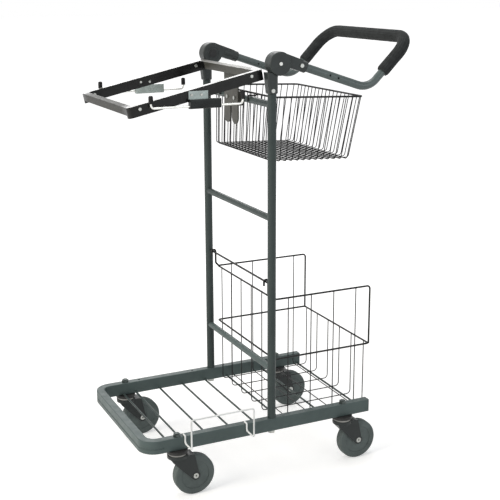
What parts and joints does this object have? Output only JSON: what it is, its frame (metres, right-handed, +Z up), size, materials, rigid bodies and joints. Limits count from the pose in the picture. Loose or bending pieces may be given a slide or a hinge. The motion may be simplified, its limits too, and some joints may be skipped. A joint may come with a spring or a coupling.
{
  "type": "cleaning cart",
  "caption": "Wheeled cleaning cart with a tube base, tall uprights, a folding foam handle, a tilted refuse bag frame with clamps, and upper and lower wire baskets.",
  "frame": {"origin": "on the floor, midway between the two uprights", "axes": "+X towards the handle, +Y to the pusher's right, +Z up"},
  "size_m": [0.7089, 0.4494, 1.061],
  "materials": {
    "frame_paint": "satin dark slate green-grey paint",
    "deck_wire": "satin dark slate green-grey paint",
    "black_wire": "dipped black wire",
    "bag_paint": "semi-gloss black paint",
    "black_plastic": "grained charcoal moulding",
    "fork_black": "black coated pressing",
    "zinc": "bright zinc plate",
    "wheel_rubber": "matt grey-green rubber",
    "grip_foam": "soft black foam",
    "bright_wire": "bright plated wire",
    "tip_rubber": "black rubber",
    "white_wire": "white coated wire"
  },
  "bodies": {
    "frame": {"base_frame": "frame_paint", "deck_wires": "deck_wire", "rail_end_caps": "black_plastic", "upright_left": "frame_paint", "upright_right": "frame_paint", "upright_bolts": "zinc", "cross_bar_top": "frame_paint", "cross_bar_middle": "frame_paint", "cross_bar_lower": "frame_paint", "hanger_rod": "black_wire", "caster_tops": "zinc", "caster_nuts": "zinc", "hinge_sleeve_left": "black_plastic", "hinge_sleeve_right": "black_plastic", "sleeve_screws": "zinc", "pivot_pins": "zinc", "bag_bracket": "frame_paint", "bracket_bolts": "zinc", "bag_pivot_pin": "zinc"},
    "handle": {"handle_yoke_left": "black_plastic", "handle_yoke_right": "black_plastic", "yoke_screws": "zinc", "handle_tube": "frame_paint", "handle_grip": "grip_foam"},
    "bag_frame": {"bag_side_left": "bag_paint", "bag_side_right": "bag_paint", "bag_front_bar": "bag_paint", "bag_rear_bar": "bag_paint", "bag_rivets": "zinc", "clamp_body_left": "zinc", "clamp_body_right": "zinc"},
    "upper_basket": {"upper_basket_rim": "black_wire", "upper_basket_front": "black_wire", "upper_basket_rear": "black_wire", "upper_basket_left": "black_wire", "upper_basket_right": "black_wire", "upper_basket_floor": "black_wire"},
    "lower_basket": {"lower_basket_frame": "black_wire", "lower_basket_front": "black_wire", "lower_basket_rear": "black_wire", "lower_basket_left": "black_wire", "lower_basket_right": "black_wire", "lower_basket_floor": "black_wire"},
    "holder": {"wire_holder": "white_wire"},
    "caster_front_left": {"fork_front_left": "fork_black", "axle_front_left": "zinc"},
    "rolling_front_left": {"wheel_front_left": "wheel_rubber"},
    "caster_front_right": {"fork_front_right": "fork_black", "axle_front_right": "zinc"},
    "rolling_front_right": {"wheel_front_right": "wheel_rubber"},
    "caster_rear_left": {"fork_rear_left": "fork_black", "axle_rear_left": "zinc"},
    "rolling_rear_left": {"wheel_rear_left": "wheel_rubber"},
    "caster_rear_right": {"fork_rear_right": "fork_black", "axle_rear_right": "zinc"},
    "rolling_rear_right": {"wheel_rear_right": "wheel_rubber"},
    "clamp_left": {"clamp_wire_left": "bright_wire", "clamp_tips_left": "tip_rubber"},
    "clamp_right": {"clamp_wire_right": "bright_wire", "clamp_tips_right": "tip_rubber"}
  },
  "joints": [
    {"name": "swivel_front_left", "type": "hinge", "parent": "frame", "child": "caster_front_left", "pos_m": [-0.246, -0.185, 0.105], "axis": [0, 0, 1], "continuous": true},
    {"name": "roll_front_left", "type": "hinge", "parent": "caster_front_left", "child": "rolling_front_left", "pos_m": [-0.206, -0.185, 0.05], "axis": [0, 1, 0], "continuous": true},
    {"name": "swivel_front_right", "type": "hinge", "parent": "frame", "child": "caster_front_right", "pos_m": [-0.246, 0.185, 0.105], "axis": [0, 0, 1], "continuous": true},
    {"name": "roll_front_right", "type": "hinge", "parent": "caster_front_right", "child": "rolling_front_right", "pos_m": [-0.206, 0.185, 0.05], "axis": [0, 1, 0], "continuous": true},
    {"name": "swivel_rear_left", "type": "hinge", "parent": "frame", "child": "caster_rear_left", "pos_m": [0.1985, -0.185, 0.105], "axis": [0, 0, 1], "continuous": true},
    {"name": "roll_rear_left", "type": "hinge", "parent": "caster_rear_left", "child": "rolling_rear_left", "pos_m": [0.2385, -0.185, 0.05], "axis": [0, 1, 0], "continuous": true},
    {"name": "swivel_rear_right", "type": "hinge", "parent": "frame", "child": "caster_rear_right", "pos_m": [0.1985, 0.185, 0.105], "axis": [0, 0, 1], "continuous": true},
    {"name": "roll_rear_right", "type": "hinge", "parent": "caster_rear_right", "child": "rolling_rear_right", "pos_m": [0.2385, 0.185, 0.05], "axis": [0, 1, 0], "continuous": true},
    {"name": "handle_fold", "type": "hinge", "parent": "frame", "child": "handle", "pos_m": [0.013, 0, 0.998], "axis": [0, 1, 0], "range_deg": [0, 65]},
    {"name": "bag_frame_fold", "type": "hinge", "parent": "frame", "child": "bag_frame", "pos_m": [-0.00527, 0, 0.95503], "axis": [0, 1, 0], "range_deg": [0, 100]},
    {"name": "clamp_swing_left", "type": "hinge", "parent": "bag_frame", "child": "clamp_left", "pos_m": [-0.16, -0.17675, 0.913], "axis": [1, 0, 0], "range_deg": [0, 90]},
    {"name": "clamp_swing_right", "type": "hinge", "parent": "bag_frame", "child": "clamp_right", "pos_m": [-0.16, 0.17675, 0.913], "axis": [-1, 0, 0], "range_deg": [0, 90]},
    {"name": "upper_basket_lift", "type": "slide", "parent": "frame", "child": "upper_basket", "axis": [0, 0, 1], "range_m": [0, 0.016]},
    {"name": "lower_basket_lift", "type": "slide", "parent": "frame", "child": "lower_basket", "axis": [0, 0, 1], "range_m": [0, 0.06]},
    {"name": "holder_lift", "type": "slide", "parent": "frame", "child": "holder", "axis": [0, 0, 1], "range_m": [0, 0.03]}
  ]
}
